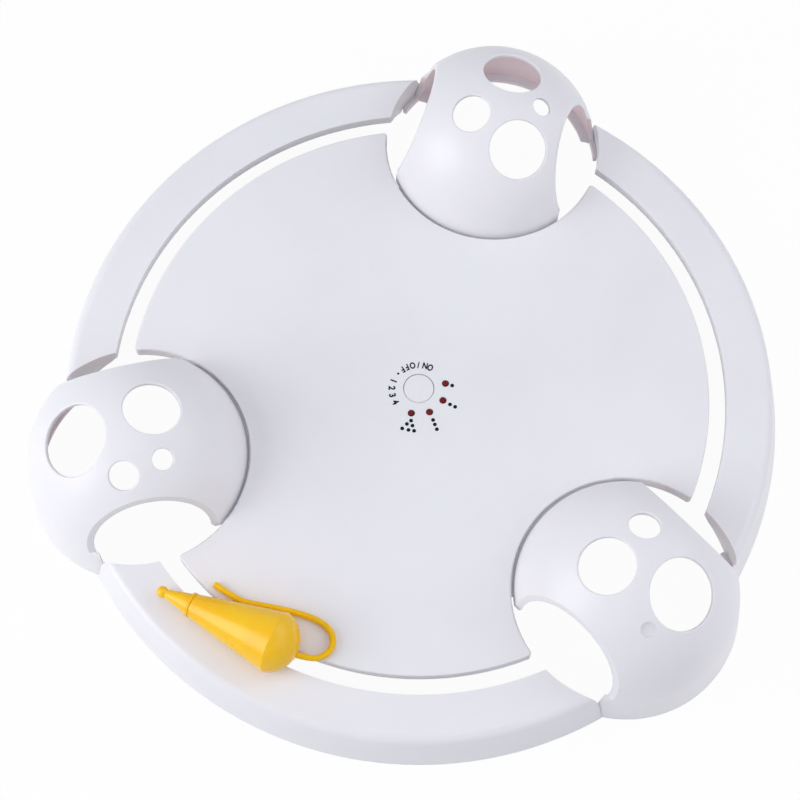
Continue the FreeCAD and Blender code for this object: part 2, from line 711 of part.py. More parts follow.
def dome(index):
    """Dome with its own pattern of round holes."""
    tools = [aimed(hole_cutter(sized(radius)), direction, tilt)
             for direction, tilt, radius in CHEESE[index]]
    if index == 2:
        direction, tilt, radius = GATE_MARK
        dimple = group(cylinder(radius, 5, z=S.dome_radius - S.mark_depth))
        tools.append(aimed(dimple, direction, tilt))
    shell = cut(dome_shell(), *tools)
    posts, bores = [], []
    for side in (-1, 1):
        posts += [dome_post(side), dome_sill(side), dome_lug(side)]
        x, y = turned(POST_REACH, 180 + side * S.post_spread)
        bores.append(cylinder(SCREW_HOLE, S.post_height - 0.6, x, y, SEAT - 1))
        x, y = lug_screw_place(0, side)
        bores.append(cylinder(SCREW_HOLE, S.deck_top / 2, x - DOME_OFFSET, y, 0))
    piece = cut(fuse(shell, *posts), *bores)
    turn = DOME_TURNS[index]
    x, y = turned(DOME_OFFSET, turn)
    return place(piece, x, y, 0, turn)


def dome_post(side):
    """Screw post that stands on the deck's ledge, with a web to the dome's wall."""
    direction = 180 + side * S.post_spread
    x, y = turned(POST_REACH, direction)
    web = common(box(S.dome_radius, S.rib_wall, S.post_height, 0, -S.rib_wall / 2, SEAT),
                 cylinder(S.dome_radius - 1, 3 * S.dome_radius))
    web = cut(place(web, turn=direction), cylinder(POST_REACH, 3 * S.dome_radius))
    return fuse(cylinder(S.post_radius, S.post_height, x, y, SEAT), web)


def dome_sill(side):
    """Low band that carries the skirt on past the gate, as far as the lug."""
    outer = skirt_radius(S.sill_height)
    start = S.sill_start if side > 0 else -S.sill_end
    return cut(cylinder(outer, S.sill_height, 0, 0, 0, S.sill_end - S.sill_start, start),
               cylinder(outer - S.dome_wall, S.deck_top, z=-1))


def dome_lug(side):
    """The lug in the dome's own place, ended inside its sill."""
    inside = cylinder(skirt_radius(S.sill_height) - 1, S.deck_top, DOME_OFFSET, 0, -1)
    return place(cut(lug(sized(0), side, S.lug_foot), inside), -DOME_OFFSET)


def lug_screw_place(turn, side):
    """Screw of a dome's lug; the dome's own direction is turn."""
    return turned(LUG_MIDDLE, turn + side * S.lug_turn)


# ---------------------------------------------------------------- gears


def tooth_outline(module, teeth, outward, inward, thinner, phase):
    """Involute gear outline: for each tooth root, pitch and tip on both flanks.
    outward and inward are the tip and root heights in modules, phase turns a tooth to that angle."""
    pressure = math.radians(20)
    pitch = module * teeth / 2
    base = pitch * math.cos(pressure)
    involute_pitch = math.tan(pressure) - pressure
    radii = (pitch - inward * module, pitch, pitch + outward * module)
    halves = []
    for radius in radii:
        lean = math.acos(min(1.0, base / radius))
        flank = involute_pitch - (math.tan(lean) - lean)
        halves.append(math.pi / (2 * teeth) - thinner / (2 * pitch) + flank)
    points = []
    for i in range(teeth):
        middle = math.radians(phase) + 2 * math.pi * i / teeth
        for radius, half in list(zip(radii, (-a for a in halves))) + list(zip(radii, halves))[::-1]:
            points.append(Vector(radius * math.cos(middle + half), radius * math.sin(middle + half), 0))
    return Part.makePolygon(points + points[:1])


def gear(module, teeth, foot, top, phase, centre=(0, 0), ring=False):
    """A toothed prism between two heights; with ring it is the hollow of an internal gear."""
    count = int(teeth.value)
    outward, inward = (1.25, 0.9) if ring else (0.9, 1.2)
    play = S.backlash.value * (-1 if ring else 1)
    wire = tooth_outline(module.value, count, outward, inward, play, phase)
    obj = doc.addObject("Part::Feature", "Teeth")
    obj.Shape = Part.Face(wire).extrude(Vector(0, 0, (top - foot).value))
    obj.Placement = Placement(Vector(sized(centre[0]).value, sized(centre[1]).value, foot.value),
                              Rotation())
    return obj


def gear_2():
    """Second compound gear: large wheel above the carousel, small one in its internal teeth."""
    x, y = sized(0), GEAR_2_Y
    small = gear(S.module_slow, S.teeth_pinion_2, PINION_2_FOOT, PINION_2_TOP, 90.0, (x, y))
    hub = cylinder(S.hub_radius, WHEEL_2_FOOT - PINION_2_TOP, x, y, PINION_2_TOP)
    large = gear(S.module_mid, S.teeth_wheel_2, WHEEL_2_FOOT, WHEEL_2_TOP,
                 -90.0, (x, y))
    bore = cylinder(PIN_BORE, S.deck_top, x, y, 0)
    return cut(fuse(small, hub, large), bore)


def gear_1():
    """First compound gear: large wheel on the motor pinion, long small one on gear 2."""
    x, y = sized(0), GEAR_1_Y
    half_tooth = 180.0 / S.teeth_pinion_1.value
    small = gear(S.module_mid, S.teeth_pinion_1, WHEEL_2_FOOT, WHEEL_1_FOOT, 90.0 + half_tooth, (x, y))
    large = gear(S.module_fast, S.teeth_wheel_1, WHEEL_1_FOOT, WHEEL_1_TOP, S.motor_turn.value, (x, y))
    bore = cylinder(PIN_BORE, S.deck_top, x, y, 0)
    return cut(fuse(small, large), bore)


def motor_pinion():
    half_tooth = 180.0 / S.teeth_motor.value
    phase = S.motor_turn.value + 180 + half_tooth
    teeth = gear(S.module_fast, S.teeth_motor, WHEEL_1_FOOT, WHEEL_1_TOP + 0.6, phase,
                 (MOTOR_X, MOTOR_Y))
    return cut(teeth, cylinder(PIN_BORE, S.deck_top, MOTOR_X, MOTOR_Y, 0))


def carousel_ring():
    """Ring with internal teeth, a flange that runs round the housing and a lug for the arm."""
    half_tooth = 180.0 / S.teeth_ring.value
    height = S.carousel_teeth + S.carousel_flange
    hollow = gear(S.module_slow, S.teeth_ring, RING_FOOT - 1, FLANGE_FOOT,
                  90.0, ring=True)
    bore = cylinder(CORE_RADIUS + S.glide_gap, 4 * height, z=0)
    lug = box(S.lug_length + 1, S.arm_root, S.lug_wall, CAROUSEL_RADIUS - 1, -S.arm_root / 2,
              RING_FOOT)
    lug = place(common(lug, cylinder(CAROUSEL_RADIUS + S.lug_length, S.deck_top)), turn=S.arm_turn)
    holes = []
    for x, y in arm_screw_places():
        holes.append(cylinder(SCREW_HOLE, 3 * S.lug_wall, x, y, RING_FOOT - S.lug_wall))
    disc = cylinder(CAROUSEL_RADIUS, height, z=RING_FOOT)
    return cut(fuse(disc, lug), hollow, bore, *holes)


def arm_screw_places():
    return [turned(CAROUSEL_RADIUS + reach, S.arm_turn) for reach in (4.5, S.lug_length - 3.5)]


# ---------------------------------------------------------------- arm and peg


def sweep_arm():
    """Tapered channel from the ring's lug to the slot, with a boss for the peg."""
    piece = body("Arm")
    start = CAROUSEL_RADIUS + 1
    tip = SLOT_MIDDLE
    half, end = S.arm_root / 2, S.arm_tip / 2
    plan = [(start, -half), (tip, -end), (tip, end), (start, half)]
    pad(piece, outline(piece, "XY_Plane", plan, {1: (end + 0.4, True)}), S.arm_depth)
    rest = CAROUSEL_RADIUS + S.lug_length + 0.4
    over_lug = [(start - 1, -S.arm_root), (rest, -S.arm_root), (rest, S.arm_root),
                (start - 1, S.arm_root)]
    pocket(piece, outline(piece, "XY_Plane", over_lug), S.lug_wall, up=True)
    taper = (half - end) / (tip - start)
    near, far = rest + S.arm_wall, tip - S.arm_tip
    inside = [(near, -(half - taper * (near - start) - S.arm_wall)),
              (far, -(half - taper * (far - start) - S.arm_wall)),
              (far, half - taper * (far - start) - S.arm_wall),
              (near, half - taper * (near - start) - S.arm_wall)]
    pocket(piece, outline(piece, "XY_Plane", inside), S.arm_depth - S.arm_wall, up=True)
    place(piece, z=RING_FOOT, turn=S.arm_turn)
    x, y = turned(tip, S.arm_turn)
    boss = cylinder(5.2, S.arm_depth + 1.6, x, y, RING_FOOT)
    bore = cylinder(S.peg_radius + S.run_fit, S.deck_top, x, y, 0)
    holes = []
    for sx, sy in arm_screw_places():
        holes += [cylinder(SCREW_HOLE, S.deck_top, sx, sy, 0),
                  cylinder(S.screw_head + 0.2, S.deck_top, sx, sy,
                           RING_FOOT + S.arm_depth - S.screw_cap)]
    return cut(fuse(piece, boss), bore, *holes)


def mouse_peg():
    """Peg with a stop fin at the height of the mouse's base and a groove for the clip."""
    x, y = turned(SLOT_MIDDLE, S.arm_turn)
    foot = RING_FOOT + 0.2
    shaft = cylinder(S.peg_radius, S.deck_top + S.peg_rise - foot, x, y, foot)
    fin = box(S.peg_radius + S.tube_wall - 0.3, S.stop_width, 1.0, 0, -S.stop_width / 2, FIN_FOOT)
    fin = place(group(fin), x, y, 0, S.mouse_turn + 180)
    groove = cut(cylinder(S.peg_radius + 1, CLIP_WALL + 0.1, x, y, CLIP_FOOT - 0.05),
                 cylinder(S.peg_radius - 0.5, S.deck_top * 3, x, y, 0))
    return cut(fuse(shaft, fin), groove)


def peg_clip():
    x, y = turned(SLOT_MIDDLE, S.arm_turn)
    return cut(cylinder(S.peg_radius + 1.8, CLIP_WALL, x, y, CLIP_FOOT),
               cylinder(S.peg_radius - 0.5 + S.run_fit, S.deck_top * 3, x, y, 0))


# ---------------------------------------------------------------- mouse

BASE_FOOT = S.deck_top + S.mouse_lift
BASE_TOP = BASE_FOOT + S.mouse_wall
FIN_FOOT = BASE_FOOT + 0.2
CLIP_WALL = sized(0.8)
CLIP_FOOT = S.deck_top + S.peg_rise - 1.6


def on_peg(obj, tilt=False):
    """Put a piece made about the peg's axis at its place, turned to the mouse's direction."""
    x, y = turned(SLOT_MIDDLE, S.arm_turn)
    if not tilt:
        return place(obj, x, y, 0, S.mouse_turn)
    turn = Rotation(Vector(0, 0, 1), S.mouse_turn.value) * Rotation(Vector(0, 1, 0), S.mouse_tilt.value)
    obj.Placement = Placement(Vector(), turn)
    bind(obj, Placement_at_Base_at_x=x, Placement_at_Base_at_y=y,
         Placement_at_Base_at_z=S.deck_top + S.mouse_axis)
    return obj


def cap_sphere(radius, length):
    """Radius of the sphere whose cap has that base radius and length."""
    return (radius * radius + length * length) / (2 * length)


def mouse_profile(inset, name):
    """The cone and rounded rear as a solid of revolution, shrunk by inset."""
    piece = body(name)
    rear, neck, cap = S.mouse_rear - inset, S.mouse_neck - inset, S.mouse_cap - inset
    points = [(-(S.mouse_crease + cap), 0), (S.mouse_joint, 0), (S.mouse_joint, neck),
              (-S.mouse_crease, rear)]
    revolve(piece, outline(piece, "XZ_Plane", points, {3: (cap_sphere(rear, cap), True)}), "H_Axis")
    return on_peg(piece, tilt=True)


def below_base():
    """Everything below the flat underside of the mouse."""
    size = 6 * S.mouse_rear
    x, y = turned(SLOT_MIDDLE, S.arm_turn)
    return span(x - size, x + size, y - size, y + size, sized(0), BASE_FOOT)


def mouse_body():
    """Hollow cone with a rounded rear, open below, with a socket for the tail."""
    shell = cut(mouse_profile(sized(0), "MouseOuter"), mouse_profile(S.mouse_wall, "MouseInner"),
                below_base())
    socket = on_peg(group(along_tail(S.tail_radius + 0.9, 5.0)))
    hole = on_peg(group(along_tail(S.tail_radius + 0.15, 12.0)))
    return cut(fuse(shell, socket), hole)


def along_tail(radius, length):
    """A cylinder on the tail's first run that starts 3 mm inside the mouse."""
    start, along = Vector(*TAIL_ROUTE[0]), Vector(*TAIL_ROUTE[1]) - Vector(*TAIL_ROUTE[0])
    along.normalize()
    foot = start - along * 3
    obj = doc.addObject("Part::Cylinder", "Cylinder")
    bind(obj, Radius=radius, Height=length)
    obj.Placement = Placement(foot, Rotation(Vector(0, 0, 1), along))
    bind(obj, Placement_at_Base_at_z=S.deck_top + foot.z)
    return obj


def mouse_snout():
    """Snout with a collar at the joint, a spigot into the body and a ball for the nose."""
    piece = body("Snout")
    nose = S.mouse_joint + S.snout_length
    slim = S.nose_radius * 0.75
    behind = root(S.nose_radius * S.nose_radius - slim * slim)
    spigot = S.mouse_neck - S.mouse_wall - S.run_fit
    collar = S.mouse_neck + 0.3
    points = [(S.mouse_joint - 4, 0), (nose + S.nose_radius, 0), (nose - behind, slim),
              (S.mouse_joint + 1.3, S.mouse_neck - 0.5), (S.mouse_joint + 1.3, collar),
              (S.mouse_joint + 0.1, collar), (S.mouse_joint + 0.1, spigot), (S.mouse_joint - 4, spigot)]
    revolve(piece, outline(piece, "XZ_Plane", points, {1: (S.nose_radius, True)}), "H_Axis")
    return cut(on_peg(piece, tilt=True), below_base())


def mouse_base():
    """Underside plate with the tube that turns on the peg and a notch for the stop fin."""
    slab_inside = mouse_profile(S.mouse_wall + 0.2, "BaseInside")
    size = 6 * S.mouse_rear
    x, y = turned(SLOT_MIDDLE, S.arm_turn)
    slab = common(slab_inside, span(x - size, x + size, y - size, y + size, BASE_FOOT, BASE_TOP))
    tube = cylinder(S.peg_radius + S.tube_wall, CLIP_FOOT - 0.3 - BASE_FOOT, x, y, BASE_FOOT)
    bore = cylinder(S.peg_radius + S.run_fit, S.deck_top * 3, x, y, 0)
    fin_half = 17.5
    notch = cylinder(S.peg_radius + S.tube_wall + 0.1, BASE_TOP - BASE_FOOT - 0.1, x, y, BASE_FOOT - 0.2,
                     S.swivel_back + S.swivel_out + 2 * fin_half,
                     S.mouse_turn + 180 - fin_half - S.swivel_out)
    return cut(fuse(slab, tube), bore, notch)


# Route of the tail from its socket, about the peg: forward, sideways and up from the deck, mm.
TAIL_ROUTE = (
    (-24.6, 0.9, 6.3), (-31.2, -0.3, 5.2), (-36.6, -3.4, 3.6), (-38.9, -9.7, 2.4),
    (-35.8, -15.9, 1.8), (-28.2, -18.3, 1.8), (-16.6, -17.2, 1.8), (-5.0, -14.5, 1.8),
    (2.0, -12.6, 1.8), (9.6, -11.2, 1.8), (21.7, -13.5, 1.8),
)


def tail_path():
    """Straight runs joined by tangent arcs, each as large as its two runs allow."""
    spots = [Vector(*point) for point in TAIL_ROUTE]
    edges = []
    start = spots[0]
    for i in range(1, len(spots) - 1):
        back, ahead = spots[i - 1] - spots[i], spots[i + 1] - spots[i]
        trim = 0.45 * min(back.Length, ahead.Length)
        half_turn = (math.pi - back.getAngle(ahead)) / 2
        first = spots[i] + back.normalize() * trim
        last = spots[i] + ahead.normalize() * trim
        radius = trim / math.tan(half_turn)
        print(f"tail bend {i}: radius {radius:.1f} mm")
        inwards = (back + ahead).normalize()
        middle = spots[i] + inwards * (radius / math.cos(half_turn) - radius)
        edges += [Part.LineSegment(start, first).toShape(), Part.Arc(first, middle, last).toShape()]
        start = last
    edges.append(Part.LineSegment(start, spots[-1]).toShape())
    return Part.Wire(edges)


def mouse_tail():
    """Thin flexible tail, a plain tube along its route."""
    path = tail_path()
    radius = S.tail_radius.value
    start = Vector(*TAIL_ROUTE[0])
    direction = Vector(*TAIL_ROUTE[1]) - start
    circle = Part.Wire(Part.Circle(start, direction, radius).toShape())
    tube = path.makePipeShell([circle], True, False)
    wanted = math.pi * radius * radius * path.Length
    print(f"tail: length {path.Length:.1f} mm, volume {tube.Volume:.1f} against {wanted:.1f}")
    obj = doc.addObject("Part::Feature", "Tail")
    obj.Shape = tube
    place_at = Placement(Vector(*[c.value for c in turned(SLOT_MIDDLE, S.arm_turn)], S.deck_top.value),
                         Rotation(Vector(0, 0, 1), S.mouse_turn.value))
    obj.Placement = place_at
    return obj


# ---------------------------------------------------------------- housing, batteries and electrics


def core_housing():
    """Round wall under the deck with the battery tray and the screw tabs."""
    height = UNDERSIDE - PLATE_TOP
    wall = cut(cylinder(CORE_RADIUS, height, z=PLATE_TOP), cylinder(CORE_INNER, 3 * height, z=-height))
    side = S.tray_half
    outer = side + S.tray_wall
    tray = [span(-outer, -side, -CORE_RADIUS, -TRAY_BACK, PLATE_TOP, TRAY_TOP + S.tray_wall),
            span(side, outer, -CORE_RADIUS, -TRAY_BACK, PLATE_TOP, TRAY_TOP + S.tray_wall),
            span(-outer, outer, -TRAY_FRONT - S.tray_wall, -TRAY_FRONT, PLATE_TOP,
                 TRAY_TOP + S.tray_wall),
            span(-outer, outer, -TRAY_BACK, -TRAY_BACK + S.tray_wall, PLATE_TOP,
                 TRAY_TOP + S.tray_wall),
            span(-outer, outer, -TRAY_FRONT - S.tray_wall, -TRAY_BACK + S.tray_wall, TRAY_TOP,
                 TRAY_TOP + S.tray_wall)]
    # The tray's side walls run into the housing wall.
    tray = [common(wall_piece, cylinder(CORE_RADIUS - S.core_wall / 2, S.deck_top))
            for wall_piece in tray]
    tabs, holes = [], []
    for x, y in boss_places():
        turn = math.degrees(math.atan2(y.value, x.value))
        reach = CORE_RADIUS - S.core_wall / 2
        tab = common(box(reach, 11, S.tab_height, 0, -5.5, PLATE_TOP), cylinder(reach, S.deck_top))
        tab = cut(tab, cylinder(root(S.boss_side * S.boss_side + S.boss_front * S.boss_front) - 5,
                                S.deck_top))
        tabs.append(place(tab, turn=turn))
        holes.append(cylinder(SCREW_HOLE, S.deck_top / 2, x, y, 0))
    # Gear 2 reaches the carousel through a window in the wall.
    window = cylinder(S.module_mid * (S.teeth_wheel_2 / 2 + 1) + 0.8, WHEEL_2_TOP + 0.5, 0, GEAR_2_Y, 0)
    boss = cylinder(DOOR_BOSS, 6, 0, DOOR_SCREW, PLATE_TOP)
    holes.append(cylinder(SCREW_HOLE, 6, 0, DOOR_SCREW, PLATE_TOP - 1))
    return cut(fuse(wall, boss, *tray, *tabs), window, *holes)


def door_half(step):
    return S.tray_half + 1.5 + step


def base_plate():
    """Bottom of the housing: screw holes, feet recesses, battery opening, gear and motor seats."""
    disc = cone(PLATE_RADIUS - 1, PLATE_RADIUS, S.plate_wall, z=S.plate_base)
    seats, holes = [], []
    for x, y in boss_places():
        holes += [cylinder(SCREW_HOLE, S.deck_top, x, y, 0),
                  cylinder(S.screw_head + 0.4, S.screw_cap + 1, x, y, S.plate_base - 1)]
    for x, y in foot_places():
        holes.append(cylinder(S.foot_radius, 1 + S.foot_recess, x, y, S.plate_base - 1))
    front, back = TRAY_FRONT, TRAY_BACK
    holes.append(span(-door_half(0), door_half(0), -front, -back, sized(0), S.deck_top))
    holes.append(span(-door_half(2), door_half(2), -front - 2, -back + 2, sized(0),
                      S.plate_base + DOOR_WALL))
    seats.append(cylinder(2.6, WHEEL_2_FOOT - S.glide_gap - PLATE_TOP, 0, GEAR_1_Y, PLATE_TOP))
    seats.append(cylinder(2.6, BOSS_LOW - PLATE_TOP, 0, GEAR_2_Y, PLATE_TOP))
    cradle = cylinder(S.motor_radius + 1.8, 6, MOTOR_X, MOTOR_Y, PLATE_TOP)
    seats.append(cut(cradle, cylinder(S.motor_radius + 0.1, S.deck_top, MOTOR_X, MOTOR_Y, 0)))
    holes.append(door_ear(sized(0)))
    for y in (GEAR_1_Y, GEAR_2_Y):
        holes.append(cylinder(PIN_BORE, S.deck_top, 0, y, PIN_FOOT))
    return cut(fuse(disc, *seats), *holes)


DOOR_WALL = sized(1.3)
DOOR_BOSS = sized(3.2)
DOOR_SCREW = -TRAY_BACK + S.tray_wall + DOOR_BOSS - 0.2


def door_ear(gap):
    """Round ear of the door round its screw; with no gap it is the notch in the base plate."""
    radius = DOOR_BOSS + 1.4 - gap
    return fuse(cylinder(radius, S.plate_wall, 0, DOOR_SCREW, S.plate_base),
                span(-radius, radius, -TRAY_BACK - 1, DOOR_SCREW, S.plate_base, PLATE_TOP))


def battery_door():
    """Door with a raised plug that fills the battery opening and an ear for its screw."""
    gap = sized(0.3)
    front, back = TRAY_FRONT, TRAY_BACK
    flange = span(-door_half(2) + gap, door_half(2) - gap, -front - 2 + gap, -back + 2 - gap,
                  S.plate_base, S.plate_base + DOOR_WALL - 0.1)
    plug = span(-door_half(0) + gap, door_half(0) - gap, -front + gap, -back - gap,
                S.plate_base, PLATE_TOP)
    return cut(fuse(flange, plug, door_ear(gap)),
               cylinder(SCREW_HOLE, S.deck_top, 0, DOOR_SCREW, 0),
               cylinder(S.screw_head + 0.2, S.screw_cap, 0, DOOR_SCREW, S.plate_base))


def lying_cylinder(radius, length, x, y, z):
    obj = doc.addObject("Part::Cylinder", "Cylinder")
    bind(obj, Radius=radius, Height=length)
    obj.Placement = Placement(Vector(), Rotation(Vector(0, 1, 0), 90))
    bind(obj, Placement_at_Base_at_x=x, Placement_at_Base_at_y=y, Placement_at_Base_at_z=z)
    return obj


def batteries():
    """Three AA cells side by side, turned end for end in turn."""
    cells = []
    half = S.cell_length / 2
    for i in range(3):
        y = -(CELL_FIRST + i * S.cell_pitch)
        nub_at = half - S.cell_nub / 2 if i % 2 == 0 else -half - S.cell_nub / 2
        can_at = -half - S.cell_nub / 2 if i % 2 == 0 else -half + S.cell_nub / 2
        cells.append(fuse(lying_cylinder(S.cell_radius, S.cell_length, can_at, y, CELL_AXIS),
                          lying_cylinder(2.7, S.cell_nub, nub_at, y, CELL_AXIS)))
    return group(*cells)


def battery_contacts():
    """Plates at both ends of every cell; the flat ends get a coiled spring, drawn as its cone."""
    pieces = []
    for i in range(3):
        y = -(CELL_FIRST + i * S.cell_pitch)
        for side in (-1, 1):
            wall = side * (S.tray_half - 0.1)
            low = wall if side < 0 else wall - S.contact_wall
            plate = box(S.contact_wall, 9, 9, low, y - 4.5, CELL_AXIS - 4.5)
            nub_side = 1 if i % 2 == 0 else -1
            reach = S.tray_half - 0.1 - S.contact_wall - S.cell_length / 2 - S.cell_nub / 2 - 0.1
            start = low + S.contact_wall if side < 0 else low - reach
            radius = 1.5 if side == nub_side else 3.0
            pieces.append(fuse(plate, lying_cylinder(radius, reach, start, y, CELL_AXIS)))
    return group(*pieces)


def motor():
    """Flat round motor with its shaft upwards."""
    can = cylinder(S.motor_radius, S.motor_length, MOTOR_X, MOTOR_Y, MOTOR_FOOT)
    collar = cylinder(3.0, 0.3, MOTOR_X, MOTOR_Y, MOTOR_TOP)
    return cut(fuse(can, collar), cylinder(PIN_BORE, 5.5, MOTOR_X, MOTOR_Y, MOTOR_TOP - 5))


def motor_shaft():
    return cylinder(S.pin_radius, PIN_TOP - 0.4 - MOTOR_TOP + 4.8, MOTOR_X, MOTOR_Y, MOTOR_TOP - 4.8)


def circuit_board():
    board = span(-S.board_half, S.board_half, -S.board_front, S.board_back,
                 S.board_top - S.board_wall, S.board_top)
    holes = [cylinder(SCREW_HOLE, S.deck_top, x, y, 0) for x, y in board_places()]
    return cut(board, *holes)


def tact_switch():
    case = span(sized(-3), sized(3), sized(-3), sized(3), S.board_top, SWITCH_TOP)
    return cut(case, cylinder(PLUNGER + S.run_fit, 10, z=S.board_top + 0.6))


PLUNGER = sized(1.7)
SWITCH_TOP = S.board_top + 3.4
CAP_FOOT = UNDERSIDE - 0.3 - 0.8


def switch_plunger():
    foot = S.board_top + 0.7 + S.button_travel
    return cylinder(PLUNGER, CAP_FOOT - foot, z=foot)


def button_cap():
    """Flush round cap with a slight crown and a flange that keeps it under the deck."""
    piece = body("Cap")
    edge = S.button_radius - 0.4
    points = [(0, CAP_FOOT), (S.button_flange, CAP_FOOT), (S.button_flange, CAP_FOOT + 0.8),
              (S.button_radius, CAP_FOOT + 0.8), (S.button_radius, S.deck_top - 0.4),
              (edge, S.deck_top), (0, S.deck_top + 0.15)]
    revolve(piece, outline(piece, "XZ_Plane", points))
    return piece


def indicator_leds():
    """Four lights in a row round the button, standing on the board."""
    lights = []
    for i in range(4):
        x, y = turned(S.light_circle, S.light_first + i * S.light_step)
        straight = S.deck_top + S.light_rise - S.light_radius
        collar = cylinder(S.light_radius + 0.3, 1, x, y, S.board_top)
        barrel = cylinder(S.light_radius, straight - S.board_top - 1, x, y, S.board_top + 1)
        crown = doc.addObject("Part::Sphere", "Crown")
        crown.Angle1 = 0
        bind(crown, Radius=S.light_radius)
        lights.append(fuse(collar, barrel, place(crown, x, y, straight)))
    return group(*lights)


def rubber_feet():
    height = S.plate_base + S.foot_recess
    return group(*[cone(S.foot_radius - 0.8, S.foot_radius - 0.2, height, x, y, 0)
                   for x, y in foot_places()])


def foot_places():
    """Four feet on a circle and one under the middle of the housing."""
    return [turned(FOOT_CIRCLE, 45 + 90 * i) for i in range(4)] + [(sized(0), sized(0))]


def base_screws():
    return group(*[screw(8 + S.tab_height, x, y, S.plate_base + S.screw_cap)
                   for x, y in boss_places()])


def dome_screws():
    pieces = []
    for turn in DOME_TURNS:
        for x, y in post_places(turn):
            pieces.append(screw(S.ledge_wall + S.post_height - 2, x, y, LIP_FOOT))
    return group(*pieces)


def rim_screws():
    pieces = []
    for turn in DOME_TURNS:
        for side in (-1, 1):
            x, y = lug_screw_place(turn, side)
            pieces.append(screw(S.sill_height - S.lug_foot + 7, x, y, S.lug_foot))
    return group(*pieces)


def board_screws():
    return group(*[screw(S.board_wall + 3.6, x, y, S.board_top - S.board_wall, head=sized(2.2))
                   for x, y in board_places()])


def arm_screws():
    seat = RING_FOOT + S.arm_depth - S.screw_cap
    return group(*[screw(seat - RING_FOOT - 0.4, x, y, seat, up=False) for x, y in arm_screw_places()])


# ---------------------------------------------------------------- the assembly

node("deck", deck())
for number, segment_turn in enumerate(RIM_TURNS, 1):
    node(f"rim_segment_{number}", rim_segment(segment_turn))
for number in range(3):
    node(f"dome_{number + 1}", dome(number))
node("core_housing", core_housing())
node("base_plate", base_plate())
node("battery_door", battery_door())
node("door_screw", screw(5, sized(0), DOOR_SCREW, S.plate_base + S.screw_cap))
node("batteries", batteries())
node("battery_contacts", battery_contacts())
node("motor", motor())
node("motor_shaft", motor_shaft())
node("motor_pinion", motor_pinion())
node("gear_1", gear_1())
node("gear_2", gear_2())
for number, pin_y in ((1, GEAR_1_Y), (2, GEAR_2_Y)):
    node(f"gear_pin_{number}", cylinder(S.pin_radius, PIN_TOP - PIN_FOOT, 0, pin_y, PIN_FOOT))
node("carousel_ring", carousel_ring())
node("sweep_arm", sweep_arm())
node("arm_screws", arm_screws())
node("mouse_peg", mouse_peg())
node("peg_clip", peg_clip())
node("mouse_body", mouse_body())
node("mouse_snout", mouse_snout())
node("mouse_base", mouse_base())
node("mouse_tail", mouse_tail())
node("circuit_board", circuit_board())
node("board_screws", board_screws())
node("tact_switch", tact_switch())
node("switch_plunger", switch_plunger())
node("button_cap", button_cap())
node("indicator_leds", indicator_leds())
node("base_screws", base_screws())
node("dome_screws", dome_screws())
node("rim_screws", rim_screws())
node("rubber_feet", rubber_feet())

doc.recompute()

for obj in doc.Objects:
    if "Invalid" in obj.State or "Error" in obj.State:
        raise RuntimeError(f"{obj.Name} ({obj.Label}) failed: {obj.State}")
for piece in NODES:
    if piece.Shape.isNull() or not piece.Shape.isValid():
        raise RuntimeError(f"{piece.Label} has no valid shape")

os.makedirs("parts", exist_ok=True)
for piece in NODES:
    piece.Shape.exportStep(os.path.join("parts", f"{piece.Label}.step"))
    print(f"{piece.Label}: {len(piece.Shape.Solids)} solid(s), {piece.Shape.Volume:.0f} mm3")
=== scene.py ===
import math

import bmesh
import bpy
from mathutils import Matrix, Vector


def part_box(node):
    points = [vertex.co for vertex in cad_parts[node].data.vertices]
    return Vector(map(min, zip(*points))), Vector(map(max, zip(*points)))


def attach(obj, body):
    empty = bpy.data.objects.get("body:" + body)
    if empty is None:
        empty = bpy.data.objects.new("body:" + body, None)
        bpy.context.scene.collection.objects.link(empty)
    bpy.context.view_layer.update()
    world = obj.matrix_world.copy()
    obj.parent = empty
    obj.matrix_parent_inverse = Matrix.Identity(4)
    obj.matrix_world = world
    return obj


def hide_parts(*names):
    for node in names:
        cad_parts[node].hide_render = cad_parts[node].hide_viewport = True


# Dressing of the motorised cat toy: shells, toy mouse, printed dial, screws, camera and light.
# Metres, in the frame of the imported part: origin on the floor under the button, +Z up.

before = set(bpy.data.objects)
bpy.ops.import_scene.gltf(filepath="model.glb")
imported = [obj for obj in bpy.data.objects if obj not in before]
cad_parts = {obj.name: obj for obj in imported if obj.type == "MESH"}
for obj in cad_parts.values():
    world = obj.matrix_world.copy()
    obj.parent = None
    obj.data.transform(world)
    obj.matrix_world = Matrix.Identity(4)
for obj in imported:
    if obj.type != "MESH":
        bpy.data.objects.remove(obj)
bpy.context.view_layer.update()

MM = 0.001

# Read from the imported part: the rim's top, which lies level with the deck's, and the peg's box.
DECK_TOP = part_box("rim_segment_2")[1].z
PEG_LOW, PEG_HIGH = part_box("mouse_peg")

# The centres of the domes' spheres, as the part has them: their directions in degrees, their
# distance from the deck's axis and their height.
DOME_TURNS = (90.0, 210.0, 330.0)
DOME_OFFSET, DOME_CENTRE = 133.6 * MM, 15.2 * MM

# Where a noise value starts and ends its way from one shade, or one gloss, to the other.
SHADE_SPREAD, GLOSS_SPREAD = (0.35, 0.65), (0.3, 0.7)

# How far yellow plastic lets red, green and blue light soak in, as shares of the reach.
YELLOW_SOAK = (1.0, 0.5, 0.1)

ABS_IOR = 1.53

# How squarely a face has to look back at its dome's centre to be an inner one, as a cosine.
INNER_FACING = -0.5

# The colour sockets of a Mix node, which share their names with its other kinds of sockets.
MIX_A, MIX_B, MIX_RESULT = 6, 7, 2

# ---------------------------------------------------------------- small tools


